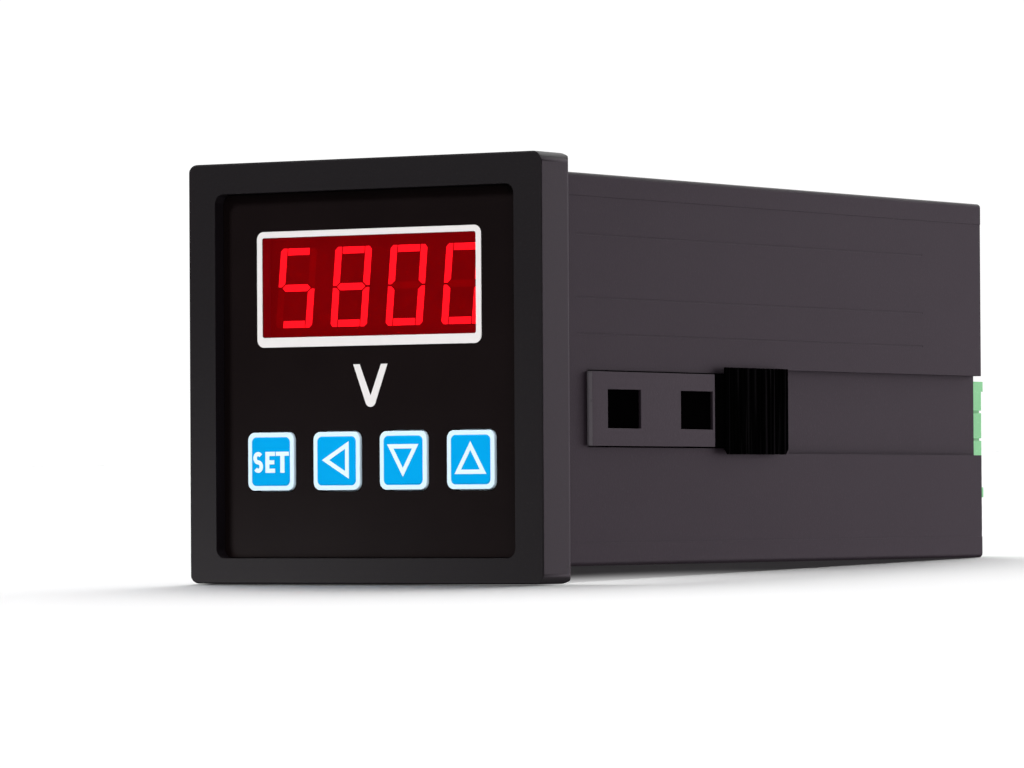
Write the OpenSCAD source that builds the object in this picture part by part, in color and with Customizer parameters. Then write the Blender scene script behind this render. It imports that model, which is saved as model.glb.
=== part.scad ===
// Panel-mounting digital meter, 48 x 48 mm format, with its fixing clips and plug-in terminals.
// X is to the right seen from the front, Y runs from the front to the rear, Z is up.
// The origin is the centre of the bezel's rear face, the face that seats on the panel.

/* [Bezel] */
// Width and height of the square front frame
bezel_w = 48; // [47.5:0.5:54]
// Depth of the frame in front of the panel
bezel_t = 6.3; // [5.5:0.1:7]
// Corner radius seen from the front
bezel_corner_r = 1.2; // [0.6:0.1:2]
// Round of the front edges
bezel_front_r = 0.2; // [0.1:0.1:0.8]
// Round of the rear edges
bezel_rear_r = 1; // [0.3:0.1:1.1]
// Width of the rim at the left and right
rim_side = 3.7; // [3.2:0.1:4]
// Width of the rim at the top
rim_top = 3.5; // [3:0.1:4]
// Width of the rim at the bottom
rim_low = 2.9; // [2.4:0.1:4]
// Corner radius of the recess
recess_r = 1.1; // [0.4:0.1:2]
// Depth from the rim to the face of the front film
film_drop = 1.6; // [1:0.1:2]
// Thickness of the plate behind the film
plate_t = 1.2; // [1:0.1:1.4]
// Wall of the collar that plugs into the housing
collar_wall = 1.3; // [1:0.1:1.6]
// Height of the barbs that hold the collar
barb_h = 0.35; // [0.2:0.05:0.5]
// Length of each barb across the meter
barb_w = 9; // [5:0.5:14]

/* [Front film and window] */
// Thickness of the front film
film_t = 0.5; // [0.3:0.1:0.8]
// Width of the red window
window_w = 29.1; // [27:0.1:30]
// Height of the red window
window_h = 11.4; // [10.5:0.1:12]
// Height of the window's centre above the middle of the meter
window_z = 9.7; // [9.3:0.1:10.2]
// Width of the white border at the sides and top of the window
border_w = 0.7; // [0.5:0.05:1.2]
// Width of the white border below the window
border_low = 1.1; // [0.5:0.05:1.4]
// Outer corner radius of the white border
border_r = 0.9; // [0.4:0.1:1.4]
// How far the lens's rear flange reaches past the opening
lens_flange = 1; // [0.6:0.1:1.4]
// Thickness of the lens's rear flange
lens_flange_t = 0.4; // [0.3:0.1:0.6]

/* [Keys] */
// Width of a key
key_w = 6.35; // [5.8:0.05:6.8]
// Height of a key
key_h = 6.6; // [6:0.1:6.8]
// Distance between neighbouring keys
key_pitch = 9.06; // [8.8:0.02:9.2]
// Height of the row of keys above the middle of the meter
key_z = -10.1; // [-10.8:0.1:-9.6]
// Corner radius of a key
key_r = 0.9; // [0.4:0.1:1.4]
// How far a key stands in front of the film
key_rise = 0.3; // [0.3:0.1:0.9]
// Width of the white edge round a key's coloured field
key_edge = 0.65; // [0.3:0.05:0.9]
// How far a key travels when pressed
key_travel = 0.25; // [0.15:0.05:0.3]
// Clearance round a key in its opening
key_gap = 0.15; // [0.1:0.05:0.3]
// Diameter of a key's plunger
plunger_d = 3; // [2:0.1:3.4]

/* [Display] */
// The number that the display shows
reading = [5, 8, 0, 0]; // digits from 0 to 9
// Height of a digit
digit_h = 9.1; // [8.5:0.1:10]
// Width of a digit before its slant
digit_w = 5; // [4.4:0.1:5.2]
// Distance between neighbouring digits
digit_pitch = 7.55; // [7.2:0.05:7.6]
// Slant of the digits in degrees
digit_slant = 5; // [0:1:8]
// Width of an upright segment
segment_w = 0.9; // [0.7:0.05:1.2]
// Height of a level segment
bar_h = 0.8; // [0.6:0.05:1.2]
// Gap between two segments
segment_gap = 0.12; // [0.06:0.02:0.2]
// Depth of the light pipe behind a segment
segment_t = 0.6; // [0.4:0.1:1]
// Room between the display module and the frame's collar on each side
module_room = 2.1; // [1.6:0.1:3.6]
// Height of the display module
module_h = 14; // [13.6:0.1:14.4]
// Depth of the display module
module_d = 6.4; // [6:0.1:7]

/* [Housing] */
// Width and height of the housing, which passes the panel cut-out
body_w = 44.2; // [43.8:0.1:44.9]
// Length of the housing behind the bezel
body_len = 99; // [90:1:130]
// Wall of the housing
wall = 2; // [1.8:0.1:2.2]
// Round of the housing's long edges
edge_r = 0.5; // [0.4:0.1:1.2]
// Width of the rails along the housing's corners
rail_w = 2.6; // [1.6:0.1:3.4]
// How far the flanks lie below the rails
flank_drop = 0.05; // [0.05:0.05:0.25]
// Depth of the fine lines along the flanks
line_depth = 0.03; // [0.02:0.01:0.2]
// Width of the fine lines along the flanks
line_w = 0.2; // [0.2:0.05:0.5]
// Thickness of a board guide
guide_t = 1; // [0.8:0.1:1.4]
// Height of a board guide
guide_h = 1.7; // [1.2:0.1:2.2]

/* [Clip channels] */
// Height of the channels' middle above the middle of the meter
clip_z = -4.4; // [-6:0.05:0]
// Width of a channel
channel_w = 9.9; // [9.4:0.1:10.6]
// Depth of a channel below the rails
channel_d = 1.15; // [1.05:0.05:1.2]
// Where the lips that hold the clip end
lip_end = 51; // [46:0.1:60]
// How far a lip reaches over the channel
lip_reach = 0.6; // [0.3:0.05:0.7]
// Thickness of a lip
lip_t = 0.43; // [0.35:0.01:0.5]
// Distance between the ratchet teeth
tooth_pitch = 1.5; // [1:0.1:2]
// Height of a ratchet tooth
tooth_h = 0.3; // [0.2:0.05:0.35]
// Width of the row of teeth
tooth_w = 3.6; // [2.5:0.1:4]

/* [Clips] */
// Where the clip's front end lies behind the panel face
clip_start = 5.9; // [5.7:0.1:10]
// How far the clip slides forward to its foremost place
clip_travel = 5.2; // [4:0.1:5.2]
// Length of the grey strip that covers the slider
strip_len = 27.1; // [26:0.1:32]
// How far the strip stands out of the housing's side
strip_rise = 0.6; // [0.5:0.05:0.9]
// Thickness of the strip
strip_t = 0.35; // [0.3:0.05:0.4]
// Length of the strip's foot, which presses on the panel
foot_len = 0.9; // [0.6:0.1:1.5]
// Bevel of the foot's front edge
foot_bevel = 0.3; // [0.1:0.05:0.35]
// Length of a window in the strip
slot_len = 7.1; // [5:0.1:8]
// Height of a window in the strip
slot_h = 4.4; // [3:0.1:5.2]
// Distance from the clip's front end to its first window
slot_front = 3.6; // [2.5:0.1:3.9]
// Distance between the two windows' front ends
slot_pitch = 15.9; // [12:0.05:16.2]
// Length of the slider's neck between the strip and the thumb grip
neck_len = 2; // [1:0.1:3]
// Length of the thumb grip
grip_len = 14.4; // [10:0.1:18]
// Height of the thumb grip across the channel
grip_w = 10.1; // [9:0.1:11.5]
// How far the thumb grip stands out of the strip
grip_rise = 0.3; // [0.3:0.1:2.5]
// Distance between the grooves of the thumb grip
groove_pitch = 0.8; // [0.7:0.05:1.5]
// Depth of the grooves of the thumb grip
groove_d = 0.25; // [0.2:0.05:0.6]
// Clearance of a clip in its channel
clip_gap = 0.07; // [0.05:0.01:0.1]

/* [Terminals] */
// Height of the terminals' middle above the middle of the meter
block_z = -7.3; // [-9:0.1:-5]
// Number of poles of the signal terminal
signal_poles = 4; // [2:1:4]
// Distance between two signal poles
signal_pitch = 3.5; // [3.4:0.05:3.81]
// Height of the signal plug above its board
signal_h = 7.2; // [6.8:0.1:7.6]
// Number of poles of the supply terminal
supply_poles = 2; // [2:1:3]
// Distance between two supply poles
supply_pitch = 5.08; // [5:0.02:5.12]
// Height of the supply plug above its board
supply_h = 8.4; // [8:0.1:9]
// How far the plugs stand behind the housing
plug_reach = 7.2; // [6.5:0.1:10]
// Depth of a plug's nose inside its header
nose_len = 7.2; // [6:0.1:8]
// Wall of a header's shroud
shroud_t = 0.8; // [0.6:0.1:1]
// Diameter of a contact pin
pin_d = 1; // [0.8:0.1:1.2]

/* [Boards] */
// Thickness of the circuit boards
board_t = 1.6; // [1.5:0.1:1.7]
// Room between the signal plug and the housing's wall
side_room = 1.7; // [1.5:0.1:2]
// Where the power board's outer face lies from the housing's wall
power_room = 2.7; // [2.2:0.1:3.2]
// Thickness of the rear cover
cover_t = 2; // [1.6:0.1:2.4]
// How far the rear cover lies inside the housing's rear edge
cover_inset = 0.3; // [0.1:0.1:0.8]

/* [Hidden] */
$fn = 48;

// Clearances
snug = 0.1;         // between fixed pieces that slide together on assembly
air = 0.3;          // between pieces that only face each other
overcut = 1;        // how far a cut runs past the face it opens

// Front, from the rim backwards
half_bezel = bezel_w / 2;
front_y = -bezel_t;
rebate = 0.4;       // depth to which the housing's front edge sits in the bezel
film_y = front_y + film_drop;
plate_y = film_y + film_t;
plate_back = plate_y + plate_t;
recess_w = bezel_w - 2 * rim_side;
recess_h = bezel_w - rim_top - rim_low;
recess_z = (rim_low - rim_top) / 2;
border_t = 0.08;
window_x = -0.25;
window_r = 0.25;
face_y = plate_back + lens_flange_t + air;
board_gap = 1.5;    // from the display board to the long boards
board_y = face_y + module_d;

// Keys and their switches
switch_w = 6;
switch_h = 3.5;
stem_d = 3.4;
stem_out = 0.8;
stem_in = 0.8;
stem_gap = 0.1;
flange_over = 0.35;
flange_t = 0.8;
field_t = 0.06;
key_front = film_y - key_rise;
flange_y = plate_back + 0.05;
stem_y = board_y - switch_h - stem_out;

// Housing
half_body = body_w / 2;
inner = half_body - wall;
collar_out = inner - snug;
collar_in = collar_out - collar_wall;
module_w = 2 * (collar_in - module_room);
flank_x = half_body - flank_drop;
seam = 0.4;
barb_back = 1;
barb_len = 1.4;
barb_y = board_y - barb_len - barb_back;
line_heights = [15.2, 8.1, 4];
line_front = 4;
line_rear = 15;

// Channels and clips
channel_start = clip_start + 0.3;
floor_x = half_body - channel_d;
lip_x = flank_x - lip_t;
side_gap = 0.15;
lip_open = channel_w - 2 * lip_reach;
strip_x = half_body + strip_rise;
cover_x = strip_x - strip_t;
over_x = flank_x + clip_gap;
strip_w = lip_open - 2 * side_gap;
clip_flange_w = channel_w - 2 * side_gap;
grip_x = strip_x + grip_rise;
strip_end = clip_start + strip_len;
foot_end = clip_start + foot_len;
slide_start = clip_start + clip_travel + 0.4;
grip_y = strip_end + neck_len;
grip_cut = 0.6;
grip_end = 0.9;
groove_w = 0.3;
teeth = floor((lip_end - channel_start - 2) / tooth_pitch);

// Boards and cover
cover_back = body_len - cover_inset;
cover_front = cover_back - cover_t;
signal_x = inner - side_room - signal_h;
power_x = -inner + power_room + board_t;
board_front = board_y + board_t + board_gap;
board_rear = cover_front - 1.2;
board_half = inner - 0.2;
guide_y = board_y + board_t;

// Terminals, from the rear forwards
plug_end = body_len + plug_reach;
plug_front = cover_front - 0.45;
header_rear = plug_front - 0.25;
header_wall = 2;
header_front = header_rear - nose_len - 0.3 - header_wall;
rim_end = 0.45;
rim_len = 1.25;
plug_side = 0.3;
opening_gap = 0.3;
entry_w = 2.5;
entry_h = 2.6;
clamp_t = 0.3;
clamp_len = 5;
entry_deep = 2;
pin_short = 2;
screw_d = 2.2;
screw_sink = 0.6;
mark_w = 0.3;

// ---- Helpers ----

module along_x(x0, x1) {
    translate([x0, 0, 0])
        rotate([90, 0, 90])
            linear_extrude(height = x1 - x0)
                children();
}

module along_y(y0, y1) {
    translate([0, y1, 0])
        rotate([90, 0, 0])
            linear_extrude(height = y1 - y0)
                children();
}

module along_z(z0, z1) {
    translate([0, 0, z0])
        linear_extrude(height = z1 - z0)
            children();
}

// A block given by its limits along each axis
module block(x, y, z) {
    translate([x[0], y[0], z[0]])
        cube([x[1] - x[0], y[1] - y[0], z[1] - z[0]]);
}

// A round bar along Y
module rod_y(x, z, d, y0, y1) {
    translate([x, y1, z])
        rotate([90, 0, 0])
            cylinder(d = d, h = y1 - y0);
}

// A round bar along X
module rod_x(y, z, d, x0, x1) {
    translate([x0, y, z])
        rotate([0, 90, 0])
            cylinder(d = d, h = x1 - x0);
}

module rounded_rect(w, h, r) {
    square([w - 2 * r, h], center = true);
    square([w, h - 2 * r], center = true);
    for (x = [-1, 1], z = [-1, 1])
        translate([x * (w / 2 - r), z * (h / 2 - r)])
            circle(r = r);
}

module at(x, z) {
    translate([x, z])
        children();
}

function key_x(i) = (i - 1.5) * key_pitch;

// ---- Front ----

// Section through the bezel's rim, with its rounded front and rear edges
module rim_section() {
    translate([-half_bezel, front_y + bezel_front_r])
        square([bezel_w, bezel_t - bezel_front_r - bezel_rear_r]);
    translate([-half_bezel + bezel_front_r, front_y])
        square([bezel_w - 2 * bezel_front_r, bezel_t / 2]);
    translate([-half_bezel + bezel_rear_r, -bezel_t / 2])
        square([bezel_w - 2 * bezel_rear_r, bezel_t / 2]);
    for (side = [-1, 1]) {
        translate([side * (half_bezel - bezel_front_r), front_y + bezel_front_r])
            circle(r = bezel_front_r);
        translate([side * (half_bezel - bezel_rear_r), -bezel_rear_r])
            circle(r = bezel_rear_r);
    }
}

module window_shape(grow) {
    at(window_x, window_z)
        rounded_rect(window_w + 2 * grow, window_h + 2 * grow, window_r + max(grow, 0) / 4);
}

module key_shapes(grow) {
    for (i = [0:3])
        at(key_x(i), key_z)
            rounded_rect(key_w + 2 * grow, key_h + 2 * grow, key_r + grow);
}

// Outside of the bezel, with its front and rear edges rounded
module bezel_block() {
    intersection() {
        along_y(front_y, 0)
            rounded_rect(bezel_w, bezel_w, bezel_corner_r);
        along_z(-half_bezel, half_bezel)
            rim_section();
        along_x(-half_bezel, half_bezel)
            mirror([1, -1, 0])
                rim_section();
    }
}

module bezel() {
    color("#2b292b")
        difference() {
            union() {
                difference() {
                    bezel_block();
                    along_y(-rebate, overcut)
                        rounded_rect(body_w + 2 * snug, body_w + 2 * snug, edge_r + snug);
                }
                along_y(-bezel_t / 2, board_y)
                    rounded_rect(2 * collar_out, 2 * collar_out, edge_r);
                for (z = [-1, 1])
                    bezel_barb(z);
            }
            along_y(front_y - overcut, plate_y)
                at(0, recess_z)
                    rounded_rect(recess_w, recess_h, recess_r);
            along_y(plate_back, board_y + overcut)
                rounded_rect(2 * collar_in, 2 * collar_in, edge_r);
            along_y(plate_y - overcut, plate_back + overcut)
                window_shape(0);
            along_y(plate_y - overcut, plate_back + overcut)
                key_shapes(key_gap);
        }
}

// Ramped barb on the collar's top or bottom face
module bezel_barb(side) {
    mirror([0, 0, side < 0 ? 1 : 0])
        along_x(-barb_w / 2, barb_w / 2)
            polygon([
                [barb_y, collar_out - snug],
                [barb_y, collar_out + barb_h],
                [barb_y + barb_len, collar_out],
                [barb_y + barb_len, collar_out - snug]
            ]);
}

module front_film() {
    color("#141213")
        along_y(film_y, plate_y)
            difference() {
                at(0, recess_z)
                    rounded_rect(recess_w - 2 * snug, recess_h - 2 * snug, recess_r - snug);
                window_shape(0);
                key_shapes(key_gap);
            }
}

module window_border() {
    color("white")
        along_y(film_y - border_t, film_y)
            difference() {
                at(window_x, window_z + (border_w - border_low) / 2)
                    rounded_rect(window_w + 2 * border_w, window_h + border_w + border_low, border_r);
                window_shape(0);
            }
}

module red_window() {
    color("#7a0012") {
        along_y(film_y + 0.05, plate_back)
            window_shape(-snug / 2);
        along_y(plate_back, plate_back + lens_flange_t)
            window_shape(lens_flange);
    }
}

// ---- Keys ----

// Cap with its raised colour field, the flange that keeps it in the bezel, and its plunger
module key_cap(i) {
    x = key_x(i);
    color("white")
        along_y(key_front + field_t, flange_y)
            at(x, key_z)
                rounded_rect(key_w, key_h, key_r);
    color("#0ba2ea")
        along_y(key_front, key_front + field_t)
            at(x, key_z)
                rounded_rect(key_w - 2 * key_edge, key_h - 2 * key_edge, key_r / 2);
    color("white") {
        along_y(flange_y, flange_y + flange_t)
            at(x, key_z)
                rounded_rect(
                    key_w + 2 * (key_gap + flange_over),
                    key_h + 2 * (key_gap + flange_over),
                    key_r
                );
        rod_y(x, key_z, plunger_d, flange_y + flange_t, stem_y);
    }
}

module key_stem(i) {
    color("#1c1c1c")
        rod_y(key_x(i), key_z, stem_d, stem_y, stem_y + stem_out + stem_in);
}

module key_switches() {
    color("#3c3c40")
        for (i = [0:3])
            difference() {
                along_y(board_y - switch_h, board_y)
                    at(key_x(i), key_z)
                        rounded_rect(switch_w, switch_w, 0.5);
                rod_y(
                    key_x(i), key_z, stem_d + 2 * stem_gap,
                    board_y - switch_h - overcut,
                    board_y - switch_h + stem_in + key_travel + stem_gap
                );
            }
}

// ---- Display ----

function mirrored(points, x, y) = [for (p = points) [p[0] * x, p[1] * y]];
function slanted(points) = [for (p = points) [p[0] + p[1] * tan(digit_slant), p[1]]];

// Outlines of the top, upper right and middle segments, about the digit's centre
digit_x = digit_w / 2;
digit_y = digit_h / 2;
corner = 0.35;
side_x = digit_x - segment_w;
top_segment = [
    [-side_x + segment_gap, digit_y],
    [side_x - segment_gap, digit_y],
    [side_x - segment_gap, digit_y - bar_h],
    [-side_x + segment_gap, digit_y - bar_h]
];
right_segment = [
    [side_x, digit_y],
    [digit_x - corner, digit_y],
    [digit_x, digit_y - corner],
    [digit_x, segment_gap],
    [digit_x - segment_w / 2, segment_gap],
    [side_x, bar_h / 2 + segment_gap]
];
middle_segment = [
    [-digit_x + segment_w / 2 + segment_gap, 0],
    [-side_x + segment_gap, bar_h / 2],
    [side_x - segment_gap, bar_h / 2],
    [digit_x - segment_w / 2 - segment_gap, 0],
    [side_x - segment_gap, -bar_h / 2],
    [-side_x + segment_gap, -bar_h / 2]
];
// Segments a to g
segment_shapes = [
    top_segment,
    right_segment,
    mirrored(right_segment, 1, -1),
    mirrored(top_segment, 1, -1),
    mirrored(right_segment, -1, -1),
    mirrored(right_segment, -1, 1),
    middle_segment
];
segment_codes = [
    "abcdef", "bc", "abdeg", "abcdg", "bcfg", "acdfg", "acdefg", "abc", "abcdefg", "abcdfg"
];
letters = "abcdefg";

function is_lit(digit, k) = len(search(letters[k], segment_codes[digit])) > 0;
function digit_at(i) = window_x + (i - 1.5) * digit_pitch;

// The segments of all digits that are lit, or those that are not
module segments_2d(lit) {
    for (i = [0:3])
        at(digit_at(i), window_z)
            for (k = [0:6])
                if (is_lit(reading[i], k) == lit)
                    polygon(slanted(segment_shapes[k]));
}

module display_module() {
    color("#2a0a0e")
        difference() {
            along_y(face_y, board_y)
                at(window_x, window_z)
                    square([module_w, module_h], center = true);
            along_y(face_y - overcut, face_y + segment_t) {
                segments_2d(true);
                segments_2d(false);
            }
        }
}

module lit_segments() {
    color("#ff2020")
        along_y(face_y, face_y + segment_t)
            segments_2d(true);
}

module dark_segments() {
    color("#5a1018")
        along_y(face_y, face_y + segment_t)
            segments_2d(false);
}

pin_rows = 10.16;
pin_step = 2.54;
tail_d = 0.9;
tail_len = 0.8;

module display_pins() {
    color("silver")
        for (i = [-2.5:1:2.5], row = [-1, 1])
            rod_y(
                window_x + i * pin_step, window_z + row * pin_rows / 2, tail_d,
                board_y + board_t, board_y + board_t + tail_len
            );
}

module display_board() {
    color("#1f6b35")
        along_y(board_y, board_y + board_t)
            rounded_rect(2 * (inner - 2 * snug), 2 * (inner - 2 * snug), edge_r);
}

// ---- Housing ----

module housing_outline() {
    difference() {
        rounded_rect(body_w, body_w, edge_r);
        for (side = [-1, 1])
            translate([side * half_body, 0])
                square([2 * flank_drop, body_w - 2 * rail_w], center = true);
    }
}

// Cuts of the clip channel in the right-hand side
module channel_cut() {
    low = clip_z - channel_w / 2;
    high = clip_z + channel_w / 2;
    block([floor_x, lip_x], [channel_start, body_len + overcut], [low, high]);
    block(
        [lip_x - snug, half_body + overcut],
        [channel_start, lip_end + snug],
        [low + lip_reach, high - lip_reach]
    );
    block([lip_x - snug, half_body + overcut], [lip_end, body_len + overcut], [low, high]);
}

// Row of ratchet teeth on the floor of the right-hand channel
module channel_teeth() {
    start = channel_start + 1;
    translate([0, 0, clip_z])
        along_z(-tooth_w / 2, tooth_w / 2)
            polygon(concat(
                [[floor_x - snug, start]],
                [
                    for (i = [0:teeth - 1], top = [0, 1])
                        [floor_x + top * tooth_h, start + i * tooth_pitch]
                ],
                [
                    [floor_x, start + teeth * tooth_pitch],
                    [floor_x - snug, start + teeth * tooth_pitch]
                ]
            ));
}

module flank_lines() {
    for (z = line_heights)
        block(
            [flank_x - line_depth, half_body + overcut],
            [line_front, body_len - line_rear],
            [z - line_w / 2, z + line_w / 2]
        );
}

// Pair of guides that hold a board's upper edge, with the board's left face at x
module board_guides(x) {
    for (edge = [x - snug - guide_t, x + board_t + snug])
        block([edge, edge + guide_t], [guide_y, cover_front], [inner - guide_h, inner + snug]);
}

module housing() {
    color("#413d41") {
        difference() {
            along_y(-rebate, body_len)
                housing_outline();
            along_y(-overcut, body_len + overcut)
                square(2 * inner, center = true);
            for (side = [0, 1])
                mirror([side, 0, 0]) {
                    channel_cut();
                    flank_lines();
                    block(
                        [inner + wall / 2, half_body + overcut],
                        [-overcut, seam],
                        [-half_body + rail_w + 0.8, half_body - rail_w - 1.2]
                    );
                }
            for (side = [0, 1])
                mirror([0, 0, side])
                    block(
                        [-barb_w / 2 - air, barb_w / 2 + air],
                        [barb_y - snug, barb_y + barb_len + snug],
                        [inner - overcut, collar_out + barb_h + snug]
                    );
        }
        for (side = [0, 1]) {
            mirror([side, 0, 0])
                channel_teeth();
            mirror([0, 0, side]) {
                board_guides(signal_x - board_t);
                board_guides(power_x - board_t);
            }
        }
    }
}

module rear_cover() {
    color("#39363a")
        along_y(cover_front, cover_back)
            difference() {
                rounded_rect(2 * (inner - snug), 2 * (inner - snug), 0.4);
                plug_shape(signal_poles, signal_pitch, signal_x, signal_h, opening_gap);
                plug_shape(supply_poles, supply_pitch, power_x, supply_h, opening_gap);
            }
}

// ---- Boards and what they carry ----

module main_board() {
    color("#1f6b35")
        block([signal_x - board_t, signal_x], [board_front, board_rear], [-board_half, board_half]);
}

module power_board() {
    color("#1f6b35")
        block([power_x - board_t, power_x], [board_front, board_rear], [-board_half, board_half]);
}

link_w = 2.5;
link_half = 8;
link_lap = 2;

// Angled headers that join the display board to the two long boards
module board_links() {
    color("#222222")
        for (x = [signal_x, power_x])
            block([x, x + link_w], [guide_y, board_front + link_lap], [-link_half, link_half]);
}

// Processor, converter, memory and reference on the main board: place, length, width, height
chips = [[28, 4, 10, 10, 1.6], [46, 6, 10.3, 7.5, 2.3], [62, -3, 6, 5, 1.5], [70, 10, 6, 5, 1.5]];

module main_chips() {
    x = signal_x - board_t;
    color("#262626")
        for (c = chips)
            block([x - c[4], x], [c[0], c[0] + c[2]], [c[1] - c[3] / 2, c[1] + c[3] / 2]);
}

core_y = 52;
core_w = 16;
core_h = 13;
core_t = 5;
core_leg = 4;
core_step = 2;
foot_t = 1;
core_x = power_x + foot_t;
coil_h = core_h - core_leg;
coil_x = core_x + core_leg / 2;
coil_foot = 12;

module transformer_core() {
    color("#33312f")
        difference() {
            block(
                [core_x, core_x + core_h],
                [core_y - core_t / 2, core_y + core_t / 2],
                [-core_w / 2, core_w / 2]
            );
            for (side = [-1, 1])
                translate([core_x + core_h / 2, core_y, side * core_w / 4])
                    cube([coil_h, core_t + overcut, core_w / 2 - core_leg], center = true);
        }
}

// Winding round the core's middle leg, on its bobbin foot
module transformer_coil() {
    color("#d9b23a")
        difference() {
            union() {
                rod_x(core_y, 0, core_w - core_leg - 2 * snug, coil_x, coil_x + coil_h);
                block(
                    [power_x, core_x - snug / 2],
                    [core_y - coil_foot / 2, core_y + coil_foot / 2],
                    [-core_w / 2, core_w / 2]
                );
                block(
                    [power_x, coil_x + coil_h / 2],
                    [core_y + core_t / 2 + snug, core_y + core_t / 2 + core_step],
                    [-core_leg, core_leg]
                );
            }
            block(
                [core_x - snug / 2, core_x + core_h + overcut],
                [core_y - core_t / 2 - snug, core_y + core_t / 2 + snug],
                [-core_leg / 2, core_leg / 2]
            );
        }
}

cap_d = 8;
cap_len = 12;
cap_z = 3;
cap_rows = [26, 76];

module capacitors() {
    color("#28425e")
        for (y = cap_rows)
            rod_x(y, cap_z, cap_d, power_x, power_x + cap_len);
}

// ---- Terminals ----

function plug_w(poles, pitch) = poles * pitch + 2 * plug_side;
function pole_z(i, poles, pitch) = block_z + (i - (poles - 1) / 2) * pitch;

// Outline of a plug seen from the rear, grown by a clearance; x is its board's face
module plug_shape(poles, pitch, x, h, grow) {
    translate([x - grow, block_z - plug_w(poles, pitch) / 2 - grow])
        square([h + 2 * grow, plug_w(poles, pitch) + 2 * grow]);
}

module nose_shape(poles, pitch, x, h, grow) {
    inset = shroud_t + snug;
    w = plug_w(poles, pitch) - 2 * plug_side;
    translate([x + inset - grow, block_z - w / 2 - grow])
        square([h - 2 * inset + 2 * grow, w + 2 * grow]);
}

module header(poles, pitch, x, h) {
    color("#2fa84f")
        difference() {
            along_y(header_front, header_rear)
                nose_shape(poles, pitch, x, h, shroud_t + snug);
            along_y(header_front + header_wall, header_rear + overcut)
                nose_shape(poles, pitch, x, h, snug);
            for (i = [0:poles - 1])
                rod_y(x + h / 2, pole_z(i, poles, pitch), pin_d, header_front - overcut, header_rear);
        }
}

module pins(poles, pitch, x, h) {
    color("#c9b27a")
        for (i = [0:poles - 1])
            rod_y(x + h / 2, pole_z(i, poles, pitch), pin_d, header_front, header_rear - pin_short);
}

module plug(poles, pitch, x, h) {
    low = block_z - plug_w(poles, pitch) / 2;
    high = block_z + plug_w(poles, pitch) / 2;
    entry_x = x + h / 2 - 1;
    color("#35b35a")
        difference() {
            union() {
                along_y(plug_front, plug_end - rim_end)
                    plug_shape(poles, pitch, x, h, 0);
                block([x, x + h], [plug_front, plug_end], [high - rim_len, high]);
                block([x, x + h], [plug_front, plug_end], [low, low + rim_len]);
                along_y(header_rear - nose_len, plug_front)
                    nose_shape(poles, pitch, x, h, 0);
            }
            for (i = [0:poles - 1]) {
                z = pole_z(i, poles, pitch);
                rod_y(
                    x + h / 2, z, pin_d + 2 * snug,
                    header_rear - nose_len - overcut,
                    header_rear - pin_short / 2
                );
                block(
                    [entry_x - entry_h / 2, entry_x + entry_h / 2],
                    [plug_end - rim_end - clamp_len - entry_deep, plug_end + overcut],
                    [z - entry_w / 2, z + entry_w / 2]
                );
                rod_x(screw_y, z, screw_d + 2 * snug, entry_x, x + h + overcut);
            }
            for (i = [1:poles - 1]) {
                mark_z = pole_z(i, poles, pitch) - pitch / 2;
                block(
                    [x + h - mark_w, x + h + overcut],
                    [plug_front + 1, plug_end + overcut],
                    [mark_z - mark_w / 2, mark_z + mark_w / 2]
                );
            }
        }
}

clamp_rear = plug_end - rim_end - 1.2;
screw_y = clamp_rear - clamp_len / 2;

// Wire cages inside a plug's entries
module clamps(poles, pitch, x, h) {
    entry_x = x + h / 2 - 1;
    color("silver")
        for (i = [0:poles - 1]) {
            z = pole_z(i, poles, pitch);
            difference() {
                block(
                    [entry_x - entry_h / 2 + 0.05, entry_x + entry_h / 2 - 0.05],
                    [clamp_rear - clamp_len, clamp_rear],
                    [z - entry_w / 2 + 0.05, z + entry_w / 2 - 0.05]
                );
                block(
                    [entry_x - entry_h / 2 + 0.05 + clamp_t, entry_x + entry_h / 2 - 0.05 - clamp_t],
                    [clamp_rear - clamp_len - overcut, clamp_rear + overcut],
                    [z - entry_w / 2 + 0.05 + clamp_t, z + entry_w / 2 - 0.05 - clamp_t]
                );
            }
        }
}

module screws(poles, pitch, x, h) {
    entry_x = x + h / 2 - 1;
    color("#b9b9b9")
        for (i = [0:poles - 1]) {
            z = pole_z(i, poles, pitch);
            difference() {
                rod_x(screw_y, z, screw_d, entry_x + entry_h / 2 - 0.05, x + h - screw_sink);
                block(
                    [x + h - screw_sink - 0.5, x + h],
                    [screw_y - 0.2, screw_y + 0.2],
                    [z - screw_d, z + screw_d]
                );
            }
        }
}

// ---- Clips ----

// Right-hand clip's slider: flanged bar that runs in the channel, with its neck and grooved thumb grip
module clip() {
    low = floor_x + clip_gap;
    high = lip_x - clip_gap;
    rear = grip_y + grip_len;
    color("#121112")
        translate([0, 0, clip_z])
            difference() {
                union() {
                    block([low, high], [slide_start, rear], [-clip_flange_w / 2, clip_flange_w / 2]);
                    block([low, cover_x], [slide_start, rear], [-strip_w / 2, strip_w / 2]);
                    block([over_x, cover_x], [foot_end, strip_end], [-strip_w / 2, strip_w / 2]);
                    block([high, strip_x], [strip_end, rear], [-strip_w / 2, strip_w / 2]);
                    along_x(strip_x, grip_x)
                        grip_outline();
                }
                // relief over the ratchet teeth
                block(
                    [low - overcut, low + tooth_h],
                    [slide_start - overcut, rear + overcut],
                    [-tooth_w / 2 - air, tooth_w / 2 + air]
                );
                for (i = [0:floor((grip_len - 2 * grip_end) / groove_pitch)]) {
                    front = grip_y + grip_end + i * groove_pitch;
                    block(
                        [grip_x - groove_d, grip_x + overcut],
                        [front, front + groove_w],
                        [-grip_w, grip_w]
                    );
                }
            }
}

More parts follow.
